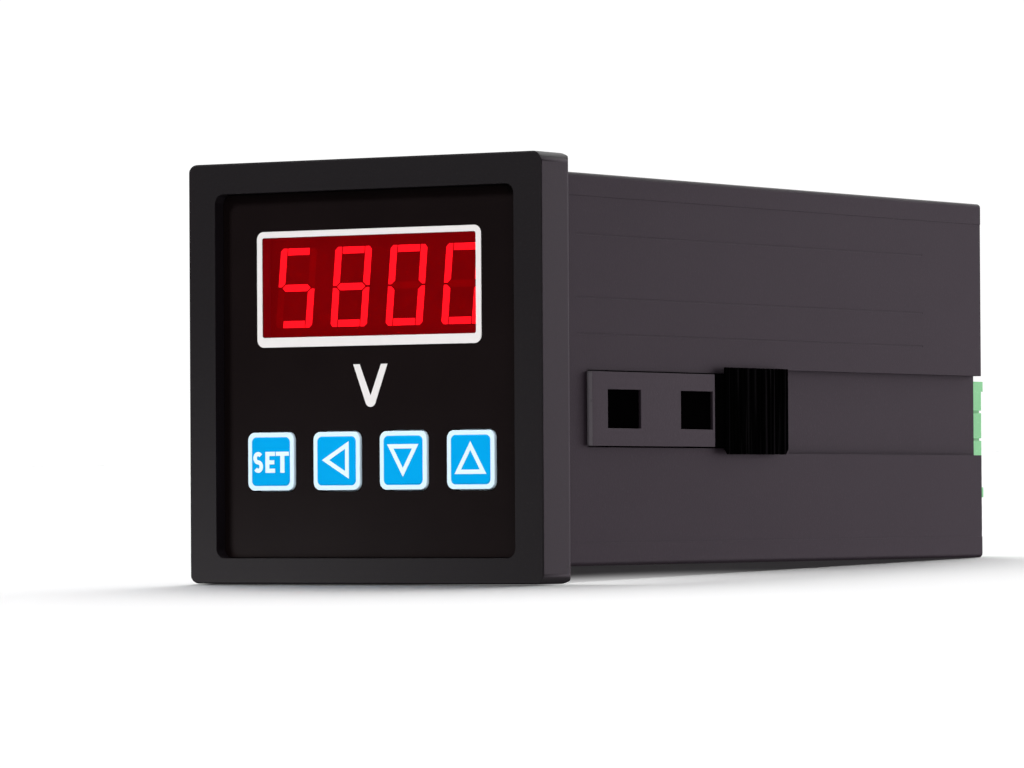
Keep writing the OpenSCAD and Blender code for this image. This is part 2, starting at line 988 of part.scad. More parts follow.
// Thumb grip's outline over the strip, with cut lower corners
module grip_outline() {
    half = grip_w / 2;
    rear = grip_y + grip_len;
    polygon([
        [grip_y, half], [grip_y, -half + grip_cut], [grip_y + grip_cut, -half],
        [rear - grip_cut, -half], [rear, -half + grip_cut], [rear, half]
    ]);
}

// Strip that covers the slider in front of its neck, with two windows and a foot at its front end
module strip() {
    color("#4a464a")
        translate([0, 0, clip_z])
            difference() {
                union() {
                    block([cover_x, strip_x], [clip_start, strip_end], [-strip_w / 2, strip_w / 2]);
                    block([over_x, strip_x], [clip_start, foot_end], [-strip_w / 2, strip_w / 2]);
                }
                along_z(-channel_w, channel_w)
                    polygon([
                        [strip_x - foot_bevel, clip_start],
                        [strip_x - foot_bevel, clip_start - overcut],
                        [strip_x + overcut, clip_start - overcut],
                        [strip_x + overcut, clip_start + foot_bevel],
                        [strip_x, clip_start + foot_bevel]
                    ]);
                for (i = [0, 1]) {
                    front = clip_start + slot_front + i * slot_pitch;
                    block(
                        [over_x, strip_x + overcut],
                        [front, front + slot_len],
                        [-slot_h / 2, slot_h / 2]
                    );
                }
            }
}

bezel();
front_film();
window_border();
red_window();
key_cap(0);  // key_set
key_cap(1);  // key_left
key_cap(2);  // key_down
key_cap(3);  // key_up
key_stem(0);  // stem_set
key_stem(1);  // stem_left
key_stem(2);  // stem_down
key_stem(3);  // stem_up
key_switches();
display_board();
display_module();
lit_segments();
dark_segments();
display_pins();
housing();
rear_cover();
main_board();
power_board();
board_links();
main_chips();
transformer_core();
transformer_coil();
capacitors();
header(signal_poles, signal_pitch, signal_x, signal_h);  // signal_header
pins(signal_poles, signal_pitch, signal_x, signal_h);  // signal_pins
plug(signal_poles, signal_pitch, signal_x, signal_h);  // signal_plug
clamps(signal_poles, signal_pitch, signal_x, signal_h);  // signal_clamps
screws(signal_poles, signal_pitch, signal_x, signal_h);  // signal_screws
header(supply_poles, supply_pitch, power_x, supply_h);  // supply_header
pins(supply_poles, supply_pitch, power_x, supply_h);  // supply_pins
plug(supply_poles, supply_pitch, power_x, supply_h);  // supply_plug
clamps(supply_poles, supply_pitch, power_x, supply_h);  // supply_clamps
screws(supply_poles, supply_pitch, power_x, supply_h);  // supply_screws
clip();  // clip_right
mirror([1, 0, 0]) clip();  // clip_left
strip();  // strip_right
mirror([1, 0, 0]) strip();  // strip_left
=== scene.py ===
import math

import bmesh
import bpy
from mathutils import Matrix, Vector


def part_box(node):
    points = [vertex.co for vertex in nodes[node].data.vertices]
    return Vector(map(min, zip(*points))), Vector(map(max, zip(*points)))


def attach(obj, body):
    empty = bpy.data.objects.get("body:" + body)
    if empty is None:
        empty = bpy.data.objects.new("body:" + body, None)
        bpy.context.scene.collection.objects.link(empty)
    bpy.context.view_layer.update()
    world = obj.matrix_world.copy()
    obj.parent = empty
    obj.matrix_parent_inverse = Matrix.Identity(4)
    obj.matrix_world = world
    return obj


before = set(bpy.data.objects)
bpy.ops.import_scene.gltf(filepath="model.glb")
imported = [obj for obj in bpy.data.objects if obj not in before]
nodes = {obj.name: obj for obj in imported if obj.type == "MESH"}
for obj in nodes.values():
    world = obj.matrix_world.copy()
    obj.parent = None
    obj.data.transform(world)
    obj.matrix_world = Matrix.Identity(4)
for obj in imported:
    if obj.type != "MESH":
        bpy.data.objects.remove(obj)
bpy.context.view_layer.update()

mm = 0.001
print("frame loaded:", len(nodes), "solids")


# shader arithmetic

class Signal:  # a socket that can be added, multiplied and stepped
    def __init__(self, finish, socket):
        self.finish = finish
        self.socket = socket

    def combine(self, operation, other, swapped=False):
        first, second = (other, self) if swapped else (self, other)
        return self.finish.add("ShaderNodeMath", {"operation": operation}, {0: first, 1: second})

    def __add__(self, other):
        return self.combine("ADD", other)

    def __radd__(self, other):
        return self.combine("ADD", other, True)

    def __sub__(self, other):
        return self.combine("SUBTRACT", other)

    def __rsub__(self, other):
        return self.combine("SUBTRACT", other, True)

    def __mul__(self, other):
        return self.combine("MULTIPLY", other)

    def __rmul__(self, other):
        return self.combine("MULTIPLY", other, True)

    def __abs__(self):
        return self.combine("ABSOLUTE", 0.0)

    def most(self, other):
        return self.combine("MAXIMUM", other)

    def step(self, edge, soft):  # 0 below edge, 1 above it, over a soft band
        return self.finish.add("ShaderNodeMapRange", {"interpolation_type": "SMOOTHSTEP"}, {
            "Value": self, "From Min": edge - soft / 2, "From Max": edge + soft / 2})


class Finish:  # one material, built node by node
    def __init__(self, name):
        self.material = bpy.data.materials.new(name)
        self.material.use_nodes = True
        self.tree = self.material.node_tree
        self.tree.nodes.clear()
        metres = self.add("ShaderNodeTexCoord", {}, {}, "Object")
        scale = {"operation": "SCALE"}
        self.place = self.add("ShaderNodeVectorMath", scale, {0: metres, "Scale": 1 / mm})

    def add(self, kind, settings, inputs, output=0):
        node = self.tree.nodes.new(kind)
        for key, value in settings.items():
            setattr(node, key, value)
        for key, value in inputs.items():
            socket = node.inputs[key]
            if isinstance(value, Signal):
                self.tree.links.new(value.socket, socket)
            else:
                socket.default_value = value
        return Signal(self, node.outputs[output]) if node.outputs else None

    def axes(self):  # millimetres along x, y and z
        return [self.add("ShaderNodeSeparateXYZ", {}, {0: self.place}, i) for i in range(3)]

    def noise(self, size, detail=2.0, stretch=(1, 1, 1)):  # size in millimetres
        place = self.add("ShaderNodeVectorMath", {"operation": "MULTIPLY"}, {0: self.place, 1: stretch})
        return self.add("ShaderNodeTexNoise", {}, {"Vector": place, "Scale": 1 / size, "Detail": detail})

    def blend(self, factor, first, second):  # colours, at factor 0 the first
        pair = [colour if isinstance(colour, Signal) else (*colour, 1) for colour in (first, second)]
        return self.add("ShaderNodeMix", {"data_type": "RGBA"}, {0: factor, 6: pair[0], 7: pair[1]}, 2)

    def bump(self, height, depth, previous=None):  # depth in millimetres
        inputs = {"Height": height, "Distance": depth * mm, "Strength": 1.0}
        if previous:
            inputs["Normal"] = previous
        return self.add("ShaderNodeBump", {}, inputs)

    def surface(self, inputs):
        shader = self.add("ShaderNodeBsdfPrincipled", {}, inputs)
        self.add("ShaderNodeOutputMaterial", {}, {0: shader})
        return self.material


def moulded(name, look):  # injection-moulded plastic with a fine spark-eroded grain
    f = Finish(name)
    tone = f.noise(look["cloud"], 3.0)
    flow = f.noise(look["cloud"] * 0.5, 2.0, look.get("stretch", (1, 0.15, 1)))
    grain = f.noise(look["grain"], 2.0)
    colour = f.blend(tone * 0.6 + flow * 0.4, look["dark"], look["light"])
    speck = f.noise(look["grain"] * 2.2, 1.0).step(0.66, 0.08)
    colour = f.blend(speck * look.get("specks", 0.25), colour, look["speck"])
    return f.surface({
        "Base Color": colour,
        "Roughness": look["rough"] + (grain - 0.5) * 0.12,
        "IOR": 1.5,
        "Specular IOR Level": look.get("gloss", 0.5),
        "Normal": f.bump(grain, look["depth"], f.bump(flow, look["depth"] * 2)),
    })


# geometry helpers

def middle(low, high):
    return (Vector(low) + Vector(high)) / 2


def makePiece(name, verts, faces, material, body):
    mesh = bpy.data.meshes.new(name)
    mesh.from_pydata(verts, [], faces)
    mesh.update()
    obj = bpy.data.objects.new(name, mesh)
    bpy.context.scene.collection.objects.link(obj)
    mesh.materials.append(material)
    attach(obj, body)
    return obj


def plate(outlines, y, thick):  # flat shapes that stand out to -Y; outlines run anticlockwise
    verts, faces = [], []
    for outline in outlines:
        start = len(verts)
        count = len(outline)
        verts += [(x, y, z) for x, z in outline]
        verts += [(x, y - thick, z) for x, z in outline]
        faces.append([start + i for i in reversed(range(count))])
        faces.append([start + count + i for i in range(count)])
        for i in range(count):
            j = (i + 1) % count
            faces.append([start + i, start + j, start + count + j, start + count + i])
    return verts, faces


def lineSides(points, width, closed=False):  # the two sides of a line, mitred at its corners
    count = len(points)
    left, right = [], []
    for i, point in enumerate(points):
        here = Vector(point)
        before = Vector(points[i - 1]) if closed or i else None
        after = Vector(points[(i + 1) % count]) if closed or i < count - 1 else None
        inward = (here - before).normalized() if before else (after - here).normalized()
        outward = (after - here).normalized() if after else inward
        side = Vector((-(inward + outward).y, (inward + outward).x)).normalized()
        reach = width / 2 / max(0.3, side.dot(Vector((-outward.y, outward.x))))
        left.append(here + side * reach)
        right.append(here - side * reach)
    return left, right


def strokePlate(points, width, y, thick, closed=False):  # a line as a thin plate
    left, right = lineSides(points, width, closed)
    count = len(points)
    verts = []
    for depth in (y, y - thick):
        verts += [(p.x, depth, p.y) for p in left] + [(p.x, depth, p.y) for p in right]
    faces = []
    for i in range(count if closed else count - 1):
        j = (i + 1) % count
        l0, l1, r0, r1 = i, j, count + i, count + j
        top = 2 * count
        faces.append([l0, l1, r1, r0])
        faces.append([top + l0, top + r0, top + r1, top + l1])
        faces.append([l0, top + l0, top + l1, l1])
        faces.append([r0, r1, top + r1, top + r0])
    if not closed:
        for i in (0, count - 1):
            ends = [i, count + i, 3 * count + i, 2 * count + i]
            faces.append(ends if i else ends[::-1])
    return verts, faces


def arc(cx, cz, radius, start, end, steps=10):  # degrees, anticlockwise seen from the front
    return [(cx + radius * math.cos(math.radians(start + (end - start) * i / steps)),
             cz + radius * math.sin(math.radians(start + (end - start) * i / steps)))
            for i in range(steps + 1)]


def shifted(points, dx, dz):  # from millimetres to metres, and moved
    return [(x * mm + dx, z * mm + dz) for x, z in points]


def softenEdges(names, width, angle=30):  # a small round on the sharp edges of moulded solids
    for name in names:
        obj = nodes[name]
        weld = obj.modifiers.new("weld", "WELD")
        weld.merge_threshold = 0.002 * mm
        flat = obj.modifiers.new("flat", "DECIMATE")
        flat.decimate_type = "DISSOLVE"
        flat.angle_limit = math.radians(0.5)
        bevel = obj.modifiers.new("bevel", "BEVEL")
        bevel.width = width * mm
        bevel.segments = 2
        bevel.limit_method = "ANGLE"
        bevel.angle_limit = math.radians(angle)
        bevel.use_clamp_overlap = True
        bevel.harden_normals = False
        weighted = obj.modifiers.new("weighted", "WEIGHTED_NORMAL")
        weighted.keep_sharp = True
        for polygon in obj.data.polygons:
            polygon.use_smooth = True


def dress(names, material):
    for name in names:
        obj = nodes[name]
        obj.data.materials.clear()
        obj.data.materials.append(material)


# bezel and housing

bezelLook = {
    "dark": (0.0040, 0.0026, 0.0037),
    "light": (0.0056, 0.0038, 0.0052),
    "speck": (0.011, 0.009, 0.010),
    "rough": 0.55,
    "cloud": 14.0,
    "grain": 0.16,
    "depth": 0.010,
    "gloss": 0.12,
    "edge": 0.05,
}
dress(["bezel"], moulded("bezelPlastic", bezelLook))
softenEdges(["bezel"], bezelLook["edge"])

housingLook = {
    "dark": (0.0078, 0.0046, 0.0074),
    "light": (0.0150, 0.0108, 0.0144),
    "speck": (0.020, 0.015, 0.019),
    "rough": 0.55,
    "cloud": 22.0,
    "grain": 0.2,
    "depth": 0.012,
    "gloss": 0.07,
    "edge": 0.12,
}
housingPlastic = moulded("housingPlastic", housingLook)
dress(["housing", "rear_cover"], housingPlastic)
softenEdges(["housing", "rear_cover"], housingLook["edge"])
print("bezel and housing dressed")


# front film, white border and lens

filmLook = {
    "dark": (0.0040, 0.0022, 0.0024),
    "light": (0.0070, 0.0042, 0.0044),
    "speck": (0.009, 0.007, 0.007),
    "rough": 0.42,
    "cloud": 12.0,
    "grain": 0.09,
    "depth": 0.003,
    "gloss": 0.03,
    "stretch": (1, 1, 1),
    "specks": 0.15,
}
dress(["front_film"], moulded("filmBlack", filmLook))

inkLook = {
    "colour": (0.79, 0.765, 0.76),
    "thin": (0.72, 0.69, 0.685),
    "cool": (0.76, 0.91, 1.0),      # on the keys
    "coolThin": (0.68, 0.85, 0.97),
    "rough": 0.5,
    "screen": 0.12,   # mesh of the printing screen
}


def inkFinish(name, full, thin):
    f = Finish(name)
    patch = f.noise(1.6, 3.0)
    screen = f.noise(inkLook["screen"], 1.0)
    colour = f.blend(patch * 0.7 + screen * 0.3, inkLook[full], inkLook[thin])
    return f.surface({
        "Base Color": colour,
        "Roughness": inkLook["rough"] + screen * 0.15,
        "Normal": f.bump(screen, 0.004),
    })


whiteInk = inkFinish("whiteInk", "colour", "thin")
keyInk = inkFinish("keyInk", "cool", "coolThin")
dress(["window_border"], whiteInk)

lensLook = {
    "tint": (1.0, 0.03, 0.055),
    "rough": 0.04,
    "coat": 0.12,
    "cutEdge": (0.150, 0.0012, 0.0085),   # the sawn sides glow with the display behind
    "cutSpread": 0.15,
}


def lensFinish():
    f = Finish("lensRed")
    return f.surface({
        "Base Color": (*lensLook["tint"], 1),
        "Roughness": lensLook["rough"],
        "IOR": 1.1,
        "Transmission Weight": 1.0,
        "Coat Weight": lensLook["coat"],
        "Coat Roughness": 0.08,
        "Coat IOR": 1.5,
        "Normal": f.bump(f.noise(6.0, 2.0), 0.01),
    })


dress(["red_window"], lensFinish())


def cutEdgeFinish():
    f = Finish("lensCutEdge")
    saw = f.noise(0.6, 2.0, (1, 0.2, 1))
    low = tuple(c * (1 - lensLook["cutSpread"]) for c in lensLook["cutEdge"])
    return f.surface({
        "Base Color": (0.01, 0.002, 0.002, 1),
        "Roughness": 0.5 + saw * 0.2,
        "Emission Color": f.blend(saw, low, lensLook["cutEdge"]),
        "Emission Strength": 1.0,
    })


lens = nodes["red_window"]
lens.data.materials.append(cutEdgeFinish())
for polygon in lens.data.polygons:
    if abs(polygon.normal.y) < 0.5:
        polygon.material_index = 1
print("front dressed")


# display

# painted glow: the module's face and the unlit segments glow red in place of room light coming through the red
# lens; only the lit segments are lamps
displayLook = {               # the glow's colour and strength, the base colour, and the mottling
    "display_module": {"colour": (0.165, 0.0012, 0.020), "strength": 1.0, "base": (0.01, 0.004, 0.005),
                       "spread": 0.25, "size": 7.0},
    "lit_segments": {"colour": (1.0, 0.27, 0.33), "strength": 1.15, "base": (0.6, 0.05, 0.05),
                     "spread": 0.10, "size": 1.5},
    "dark_segments": {"colour": (0.215, 0.0016, 0.020), "strength": 1.0, "base": (0.01, 0.004, 0.005),
                      "spread": 0.2, "size": 2.0},
}


def glowFinish(name, look):
    f = Finish(name)
    tone = f.noise(look["size"], 2.0)
    low = tuple(c * (1 - look["spread"]) for c in look["colour"])
    return f.surface({
        "Base Color": (*look["base"], 1),
        "Roughness": 0.45 + tone * 0.1,
        "Emission Color": f.blend(tone, low, look["colour"]),
        "Emission Strength": look["strength"],
    })


titles = {"display_module": "displayFace", "lit_segments": "segmentLit", "dark_segments": "segmentDark"}
for name, title in titles.items():
    dress([name], glowFinish(title, displayLook[name]))
print("display dressed")


# keys and their signs

keyLook = {
    "blue": (0.0005, 0.385, 0.82),
    "blueDeep": (0.0005, 0.34, 0.76),
    "edge": (0.70, 0.88, 1.0),
    "rough": 0.45,
    "margin": (0.54, 0.53),   # white edge left round the coloured field, across and up
    "round": 0.6,
    "paintDepth": 0.15,       # how far back from the cap's front the blue reaches
    "gloss": 0.01,
    "bevel": 0.03,
}


def keyFinish(name):
    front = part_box(name)[0].y + 0.2 * mm     # the cap stands in front of the wider flange
    rim = [vert.co / mm for vert in nodes[name].data.vertices if vert.co.y < front]
    low, high = ([pick(point[i] for point in rim) for i in range(3)] for pick in (min, max))
    f = Finish(name + "_plastic")
    x, y, z = f.axes()
    turn = keyLook["round"]

    def past(place, i, margin):  # how far a point lies past the straight part of the field's side
        straight = (high[i] - low[i]) / 2 - margin - turn
        return (abs(place - (low[i] + high[i]) / 2) - straight).most(0.0)

    across, upward = past(x, 0, keyLook["margin"][0]), past(z, 2, keyLook["margin"][1])
    outside = (across * across + upward * upward).step(turn * turn, 0.06)
    behind = y.step(low[1] + keyLook["paintDepth"], 0.02)
    painted = 1 - outside.most(behind)
    tone = f.noise(3.5, 2.0)
    blue = f.blend(tone, keyLook["blueDeep"], keyLook["blue"])
    grain = f.noise(0.12, 1.0)
    return f.surface({
        "Base Color": f.blend(painted, keyLook["edge"], blue),
        "Roughness": keyLook["rough"] + grain * 0.1,
        "Specular IOR Level": keyLook["gloss"],
        "Normal": f.bump(grain, 0.004),
    })


keyNames = ["set", "left", "down", "up"]
for key in keyNames:
    dress(["key_" + key], keyFinish("key_" + key))
softenEdges(["key_" + key for key in keyNames], keyLook["bevel"], angle=40)

signLook = {
    "thick": 0.02,
    "triangle": 4.25,     # outside length of a side
    "line": 0.5,
    "letter": 2.4,
    "stroke": 0.48,       # of the letters
    "lift": 0.1,          # of the triangles above the middle of the key
    "drop": 0.08,         # of the word below it
    "word": {"S": (-2.40, 1.34), "E": (-0.72, 1.34), "T": (0.74, 1.80)},   # left edge and width
}


def triangleSign(turn):
    side = signLook["triangle"] - signLook["line"] * math.sqrt(3)
    radius = side / math.sqrt(3)
    points = [(radius * math.cos(math.radians(turn + 120 * i)),
               radius * math.sin(math.radians(turn + 120 * i))) for i in range(3)]
    middleX = (min(p[0] for p in points) + max(p[0] for p in points)) / 2
    middleZ = (min(p[1] for p in points) + max(p[1] for p in points)) / 2
    return [(x - middleX, z - middleZ) for x, z in points]


turns = {"left": 180, "down": 270, "up": 90}
for key, turn in turns.items():
    low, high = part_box("key_" + key)
    centre = middle(low, high)
    points = shifted(triangleSign(turn), centre.x, centre.z + signLook["lift"] * mm)
    verts, faces = strokePlate(points, signLook["line"] * mm, low.y, signLook["thick"] * mm, closed=True)
    makePiece("sign_" + key, verts, faces, keyInk, key + "_key")


def letterE(x, w, h, line):
    stem = line * 1.15
    rows = [-h / 2, -h / 2 + line, -line / 2, line / 2, h / 2 - line, h / 2]
    return [(x, rows[0]), (x + w, rows[0]), (x + w, rows[1]), (x + stem, rows[1]),
            (x + stem, rows[2]), (x + w * 0.92, rows[2]), (x + w * 0.92, rows[3]), (x + stem, rows[3]),
            (x + stem, rows[4]), (x + w, rows[4]), (x + w, rows[5]), (x, rows[5])]


def letterT(x, w, h, line):
    stem = line * 1.2
    a, b = x + (w - stem) / 2, x + (w + stem) / 2
    return [(a, -h / 2), (b, -h / 2), (b, h / 2 - line), (x + w, h / 2 - line),
            (x + w, h / 2), (x, h / 2), (x, h / 2 - line), (a, h / 2 - line)]


def letterS(x, w, h, line):  # centre line of the letter, from its upper end to its lower
    r = (h - line) / 4
    wide = (w - line) / 2
    cx = x + w / 2
    upper = [(cx + (px - cx) * wide / r, pz) for px, pz in arc(cx, r, r, 35, 270, 14)]
    lower = [(cx + (px - cx) * wide / r, pz) for px, pz in arc(cx, -r, r, 90, -145, 14)]
    return upper + lower[1:]


low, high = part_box("key_set")
centre = middle(low, high)
h, line = signLook["letter"], signLook["stroke"]
wordZ = centre.z - signLook["drop"] * mm
word = signLook["word"]
letters = [letterE(*word["E"], h, line), letterT(*word["T"], h, line)]
verts, faces = plate([shifted(p, centre.x, wordZ) for p in letters], low.y, signLook["thick"] * mm)
makePiece("sign_set", verts, faces, keyInk, "set_key")
points = shifted(letterS(*word["S"], h, line), centre.x, wordZ)
verts, faces = strokePlate(points, line * mm, low.y, signLook["thick"] * mm)
makePiece("sign_set_s", verts, faces, keyInk, "set_key")

unitLook = {
    "top": 0.80,
    "low": -4.05,
    "half": 2.33,         # half the width at the top
    "line": 0.82,
    "foot": 0.72,         # radius of the rounded foot
    "notch": 1.55,        # height of the inner corner over the foot, in line widths
    "thick": 0.03,
}


def unitSign():  # the letter V as one outline, with a rounded foot
    top, low, half, line, foot = (unitLook[key] for key in ("top", "low", "half", "line", "foot"))
    slope = (half - foot) / (top - low - foot)
    inner = low + line * unitLook["notch"]
    across = line * math.sqrt(1 + slope * slope)
    footArc = arc(0, low + foot, foot, 195, 345, 8)
    return footArc + [(half, top), (half - across, top), (0, inner), (across - half, top), (-half, top)]


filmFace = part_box("front_film")[0].y
verts, faces = plate([shifted(unitSign(), 0, 0)], filmFace, unitLook["thick"] * mm)
makePiece("sign_unit", verts, faces, whiteInk, "case")
print("keys and signs made")


# clips

clipLook = {
    "dark": (0.0003, 0.0003, 0.0003),
    "light": (0.0007, 0.0006, 0.0007),
    "streak": (0.0045, 0.0040, 0.0045),
    "rough": 0.8,
    "gloss": 0.0,
    "edge": 0.05,
}
stripLook = {
    **housingLook,
    "dark": (0.0120, 0.0080, 0.0114),
    "light": (0.0155, 0.0108, 0.0148),
    "gloss": 0.09,
    "edge": 0.06,
}
paintedHighlightLook = {                  # the strip's front end, painted pale as a highlight where no lamp lights its front faces
    **stripLook,
    "dark": (0.07, 0.062, 0.07),
    "light": (0.09, 0.08, 0.09),
    "reach": 0.5,             # from its foremost edge
}


def clipFinish():
    f = Finish("clipBlack")
    outward = abs(f.axes()[0])
    tone = f.noise(2.5, 2.0)
    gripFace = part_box("strip_right")[1].x / mm + 0.05   # only the thumb grip stands out past the strip
    streaks = f.noise(0.5, 2.0, (1, 1, 0.02)).step(0.60, 0.1) * outward.step(gripFace, 0.02)
    black = f.blend(tone, clipLook["dark"], clipLook["light"])
    return f.surface({
        "Base Color": f.blend(streaks, black, clipLook["streak"]),
        "Roughness": clipLook["rough"] + tone * 0.1,
        "Specular IOR Level": clipLook["gloss"],
        "Normal": f.bump(f.noise(0.2), 0.006),
    })


dress(["clip_right", "clip_left"], clipFinish())
dress(["strip_right", "strip_left"], moulded("stripPlastic", stripLook))
paintedHighlightEdge = moulded("stripPaintedHighlight", paintedHighlightLook)
# painted highlight: the strip foot's front-facing faces near its front end take the pale finish
for name in ("strip_right", "strip_left"):
    nodes[name].data.materials.append(paintedHighlightEdge)
    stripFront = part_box(name)[0].y + paintedHighlightLook["reach"] * mm
    for polygon in nodes[name].data.polygons:
        if polygon.normal.y < -0.5 and polygon.center.y < stripFront:
            polygon.material_index = 1
softenEdges(["strip_right", "strip_left"], stripLook["edge"])
softenEdges(["clip_right", "clip_left"], clipLook["edge"])
print("clips dressed")


# terminals and their metal

terminalLook = {
    "dark": (0.13, 0.44, 0.17),
    "light": (0.18, 0.55, 0.23),
    "speck": (0.32, 0.66, 0.36),
    "rough": 0.45,
    "cloud": 5.0,
    "grain": 0.14,
    "depth": 0.006,
    "gloss": 0.15,
    "edge": 0.08,
}
dress(["signal_plug", "supply_plug", "signal_header", "supply_header"],
      moulded("terminalGreen", terminalLook))
softenEdges(["signal_plug", "supply_plug"], terminalLook["edge"])

clampLook = {"dark": (0.42, 0.40, 0.37), "light": (0.62, 0.60, 0.56), "rough": 0.3}
pinLook = {"dark": (0.52, 0.42, 0.26), "light": (0.70, 0.60, 0.42), "rough": 0.28}


def metalFinish(name, look):
    f = Finish(name)
    turn = f.noise(0.3, 3.0, (0.25, 1, 1))
    return f.surface({
        "Base Color": f.blend(turn, look["dark"], look["light"]),
        "Metallic": 1.0,
        "Roughness": look["rough"] + turn * 0.15,
        "Normal": f.bump(turn, 0.004),
    })


dress(["signal_screws", "supply_screws", "signal_clamps", "supply_clamps"],
      metalFinish("clampMetal", clampLook))
dress(["signal_pins", "supply_pins", "display_pins"], metalFinish("pinMetal", pinLook))
print("terminals dressed")


# boards and what they carry

boardLook = {
    "dark": (0.010, 0.075, 0.030),
    "light": (0.016, 0.11, 0.042),
    "track": (0.03, 0.20, 0.075),
    "trackDepth": 0.03,
    "rough": 0.35,
}


def boardFinish():
    f = Finish("boardGreen")
    tracks = f.add("ShaderNodeTexBrick", {"offset": 0.5}, {
        "Vector": f.place, "Scale": 0.35, "Mortar Size": 0.03, "Color1": (0, 0, 0, 1),
        "Color2": (0, 0, 0, 1), "Mortar": (1, 1, 1, 1)}, "Color")
    tone = f.noise(9.0, 2.0)
    mask = f.blend(tone, boardLook["dark"], boardLook["light"])
    return f.surface({
        "Base Color": f.blend(tracks, mask, boardLook["track"]),
        "Roughness": boardLook["rough"] + tone * 0.1,
        "Normal": f.bump(tracks, boardLook["trackDepth"]),
    })


dress(["display_board", "main_board", "power_board"], boardFinish())


def smallLook(dark, light, rough, grain=0.2, depth=0.008):
    return {"dark": dark, "light": light, "speck": light, "rough": rough, "cloud": 4.0,
            "grain": grain, "depth": depth}


chipLook = smallLook((0.012,) * 3, (0.02,) * 3, 0.5)
switchLook = smallLook((0.02,) * 3, (0.035,) * 3, 0.45)
coreLook = smallLook((0.025, 0.023, 0.021), (0.05, 0.045, 0.04), 0.6, grain=0.35, depth=0.02)
coilLook = smallLook((0.50, 0.33, 0.03), (0.66, 0.46, 0.06), 0.35)
sleeveLook = smallLook((0.012, 0.03, 0.07), (0.02, 0.045, 0.10), 0.3)

dress(["main_chips", "board_links"], moulded("chipBlack", chipLook))
dress(["key_switches"] + ["stem_" + key for key in keyNames], moulded("switchPlastic", switchLook))
dress(["transformer_core"], moulded("ferrite", coreLook))
dress(["transformer_coil"], moulded("coilTape", coilLook))
dress(["capacitors"], moulded("capacitorSleeve", sleeveLook))
print("boards dressed")


# floor, backdrop, light and camera

stageLook = {
    "floor": 0.86,
    "floorGlow": 0.02,
    "besideGlow": 0.58,   # beside the housing's front half
    "glowAcross": ((-10, 24.0), (9, 22.0)),     # start and softness, end and softness, from the housing's side
    "glowAlong": ((-2.0, 6.0), (28.0, 60.0)),   # the same along y
    "floorSize": 3.0,     # half its length in metres
    "restsAt": 0.2,       # where the bezel's lower edge touches the floor, as a share of its depth
    "gap": 0.02,          # under that edge, in millimetres
    "backdrop": 1.6,      # radius of the pale dome in metres
    "backdropGlow": 1.05,
    "world": 0.06,
    "worldColour": (1.0, 0.985, 1.0),
}


def stageMesh(name, build, finish):
    mesh = bpy.data.meshes.new(name)
    bm = bmesh.new()
    build(bm)
    bm.to_mesh(mesh)
    bm.free()
    obj = bpy.data.objects.new(name, mesh)
    bpy.context.scene.collection.objects.link(obj)
    mesh.materials.append(finish)
    return obj


def floorFinish():  # glows softly beside the housing's front half, as if light came from below it
    f = Finish("paleFloor")
    tone = f.noise(400.0, 2.0)
    shade = stageLook["floor"]
    x, y = f.axes()[:2]
    beside = 1.0
    for place, origin, band in ((x, housingHigh.x / mm, "glowAcross"), (y, 0, "glowAlong")):
        (start, startSoft), (end, endSoft) = stageLook[band]
        beside = place.step(origin + start, startSoft) * (1 - place.step(origin + end, endSoft)) * beside
    return f.surface({
        "Base Color": f.blend(tone, (shade, shade, shade), (shade * 0.99, shade * 0.99, shade)),
        "Roughness": 0.8,
        "Specular IOR Level": 0.0,
        "Emission Color": f.blend(beside, (stageLook["floorGlow"],) * 3, (stageLook["besideGlow"],) * 3),
        "Emission Strength": 1.0,
    })


def backdropFinish():
    f = Finish("paleBackdrop")
    glow = stageLook["backdropGlow"]
    shine = f.add("ShaderNodeEmission", {}, {"Color": (1, 1, 1, 1), "Strength": glow})
    f.add("ShaderNodeOutputMaterial", {}, {0: shine})
    return f.material


# the meter rests on the bezel's lower edge and the housing's lower rear edge, so the floor slopes
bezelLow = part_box("bezel")[0]
housingLow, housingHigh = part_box("housing")
frontRest = Vector((0, bezelLow.y * stageLook["restsAt"], bezelLow.z))
rearRest = Vector((0, housingHigh.y, housingLow.z))
floorSlope = math.atan2(rearRest.z - frontRest.z, rearRest.y - frontRest.y)
floorPlace = frontRest - Vector((0, 0, stageLook["gap"] * mm))

floor = stageMesh("floor", lambda bm: bmesh.ops.create_grid(
    bm, x_segments=1, y_segments=1, size=stageLook["floorSize"]), floorFinish())
floor.matrix_world = Matrix.Translation(floorPlace) @ Matrix.Rotation(floorSlope, 4, "X")
dome = stageMesh("backdrop", lambda bm: bmesh.ops.create_uvsphere(
    bm, u_segments=48, v_segments=24, radius=stageLook["backdrop"]), backdropFinish())
for ray in ("diffuse", "glossy", "transmission", "shadow"):
    setattr(dome, "visible_" + ray, False)
for ray in ("diffuse", "glossy", "shadow"):
    setattr(floor, "visible_" + ray, False)

world = bpy.data.worlds.new("studio")
world.use_nodes = True
background = world.node_tree.nodes["Background"]
background.inputs["Color"].default_value = (*stageLook["worldColour"], 1)
background.inputs["Strength"].default_value = stageLook["world"]
bpy.context.scene.world = world


def linkGroup(name, state):  # limits what a light falls on: only the floor, or all but the floor
    group = bpy.data.collections.new(name)
    group.objects.link(floor)
    group.collection_objects[0].light_linking.link_state = state
    return group


onFloor = linkGroup("onFloor", "INCLUDE")
offFloor = linkGroup("offFloor", "EXCLUDE")


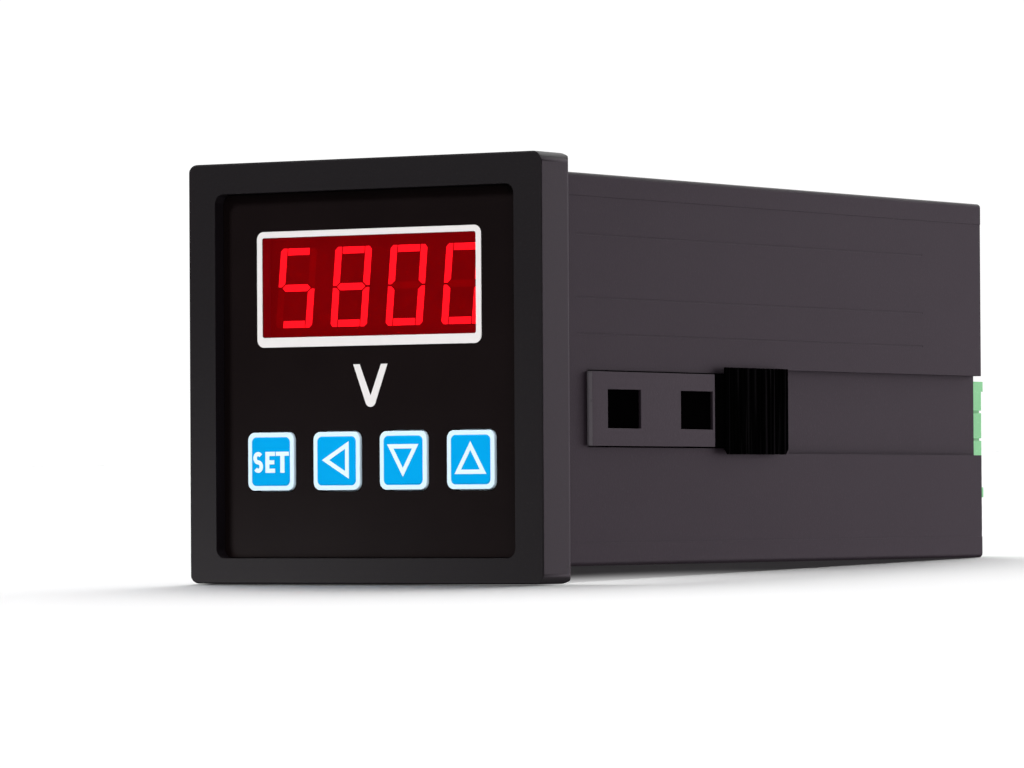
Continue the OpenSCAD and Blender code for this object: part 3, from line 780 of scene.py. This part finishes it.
lightLook = {                 # places and sizes in metres
    "keySoftbox": {"place": (-0.52, -0.75, 0.60), "size": 0.2, "energy": 9.5},
    "fillSoftbox": {"place": (0.40, -0.50, 0.10), "size": 0.4, "energy": 2.4},
    "lowPanel": {"place": (-0.055, -0.06, -0.035), "aim": (-0.02, 0, -0.02), "hidden": ("diffuse",),
                 "size": 0.03, "energy": 0.035},
    "sidePanel": {"place": (0.26, 0.49, 0.02), "aim": (0.02, 0.05, 0), "size": 0.36, "energy": 1.62,
                  "color": (1.0, 0.86, 0.99)},
    "topSoftbox": {"place": (0.1, 0.1, 0.95), "size": 1.2, "energy": 10},
    "bounceSoftbox": {"place": (0.25, 0.05, -0.30), "size": 0.4, "energy": 1.2},
    "topPanel": {"place": (-0.02, 0.47, 0.30), "aim": (0, 0.05, 0), "size": 0.4, "energy": 2.0},
    "floorSun": {"kind": "SUN", "place": (-0.5, 0.5, 1.0), "group": onFloor, "energy": 2.7,
                 "angle": math.radians(64)},
    "floorSunRear": {"kind": "SUN", "place": (-0.15, 0.8, 1.0), "group": onFloor, "energy": 1.9,
                     "angle": math.radians(60)},
}


def addLight(name, place, kind="AREA", aim=(0, 0, 0), group=offFloor, hidden=(), **settings):
    data = bpy.data.lights.new(name, kind)
    for key, value in settings.items():
        setattr(data, key, value)
    obj = bpy.data.objects.new(name, data)
    obj.location = place
    obj.rotation_euler = (Vector(place) - Vector(aim)).to_track_quat("Z", "Y").to_euler()
    obj.light_linking.receiver_collection = group
    for ray in ("camera", *hidden):
        setattr(obj, "visible_" + ray, False)
    bpy.context.scene.collection.objects.link(obj)


for name, look in lightLook.items():
    addLight(name, **look)

cameraLook = {                # degrees and metres
    "azimuth": 32.76,
    "elevation": -1.119,
    "roll": -0.3335,
    "distance": 0.68593,
    "aim": (0.01413, 0.00283, -0.00158),
    "lens": 214.2,
}


def placeCamera():
    az, el, roll = (math.radians(cameraLook[k]) for k in ("azimuth", "elevation", "roll"))
    forward = Vector((-math.sin(az) * math.cos(el), math.cos(az) * math.cos(el), -math.sin(el)))
    side = forward.cross(Vector((0, 0, 1))).normalized()
    rise = side.cross(forward)
    right = math.cos(roll) * side + math.sin(roll) * rise
    up = -math.sin(roll) * side + math.cos(roll) * rise
    data = bpy.data.cameras.new("camera")
    data.lens = cameraLook["lens"]
    data.sensor_width = 36.0
    data.clip_start, data.clip_end = 0.01, 20.0
    camera = bpy.data.objects.new("camera", data)
    turn = Matrix((right, up, -forward)).transposed().to_4x4()
    place = Vector(cameraLook["aim"]) - forward * cameraLook["distance"]
    camera.matrix_world = Matrix.Translation(place) @ turn
    bpy.context.scene.collection.objects.link(camera)
    bpy.context.scene.camera = camera
    print("camera aims at", [round(c / mm, 2) for c in cameraLook["aim"]])


placeCamera()
bpy.context.scene.view_settings.view_transform = "Standard"
print("stage ready")
